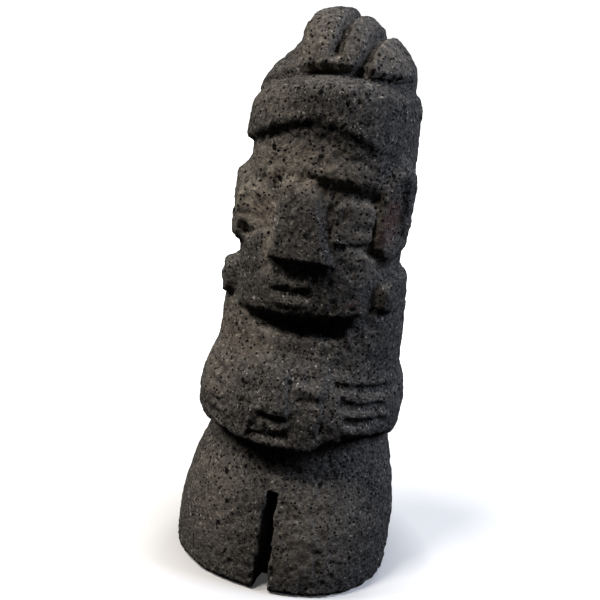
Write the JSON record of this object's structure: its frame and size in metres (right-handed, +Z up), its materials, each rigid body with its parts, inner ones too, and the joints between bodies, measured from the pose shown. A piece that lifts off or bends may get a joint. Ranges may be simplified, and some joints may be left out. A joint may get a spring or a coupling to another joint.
{
  "type": "carved stone idol statue",
  "caption": "Upright carved lava stone idol on a split foot, with a small mask held on its belly, a padded headband and a lobed crest.",
  "frame": {"origin": "middle of the figure's box, on the ground under its foot", "axes": "+Z up along the figure, -Y the way that its face looks, +X to the right of a viewer in front of it"},
  "size_m": [0.1006, 0.0956, 0.2543],
  "materials": {
    "stone": "rough, dry and matt, full of small open pores"
  },
  "bodies": {
    "root": {"statue": "stone"}
  },
  "joints": []
}
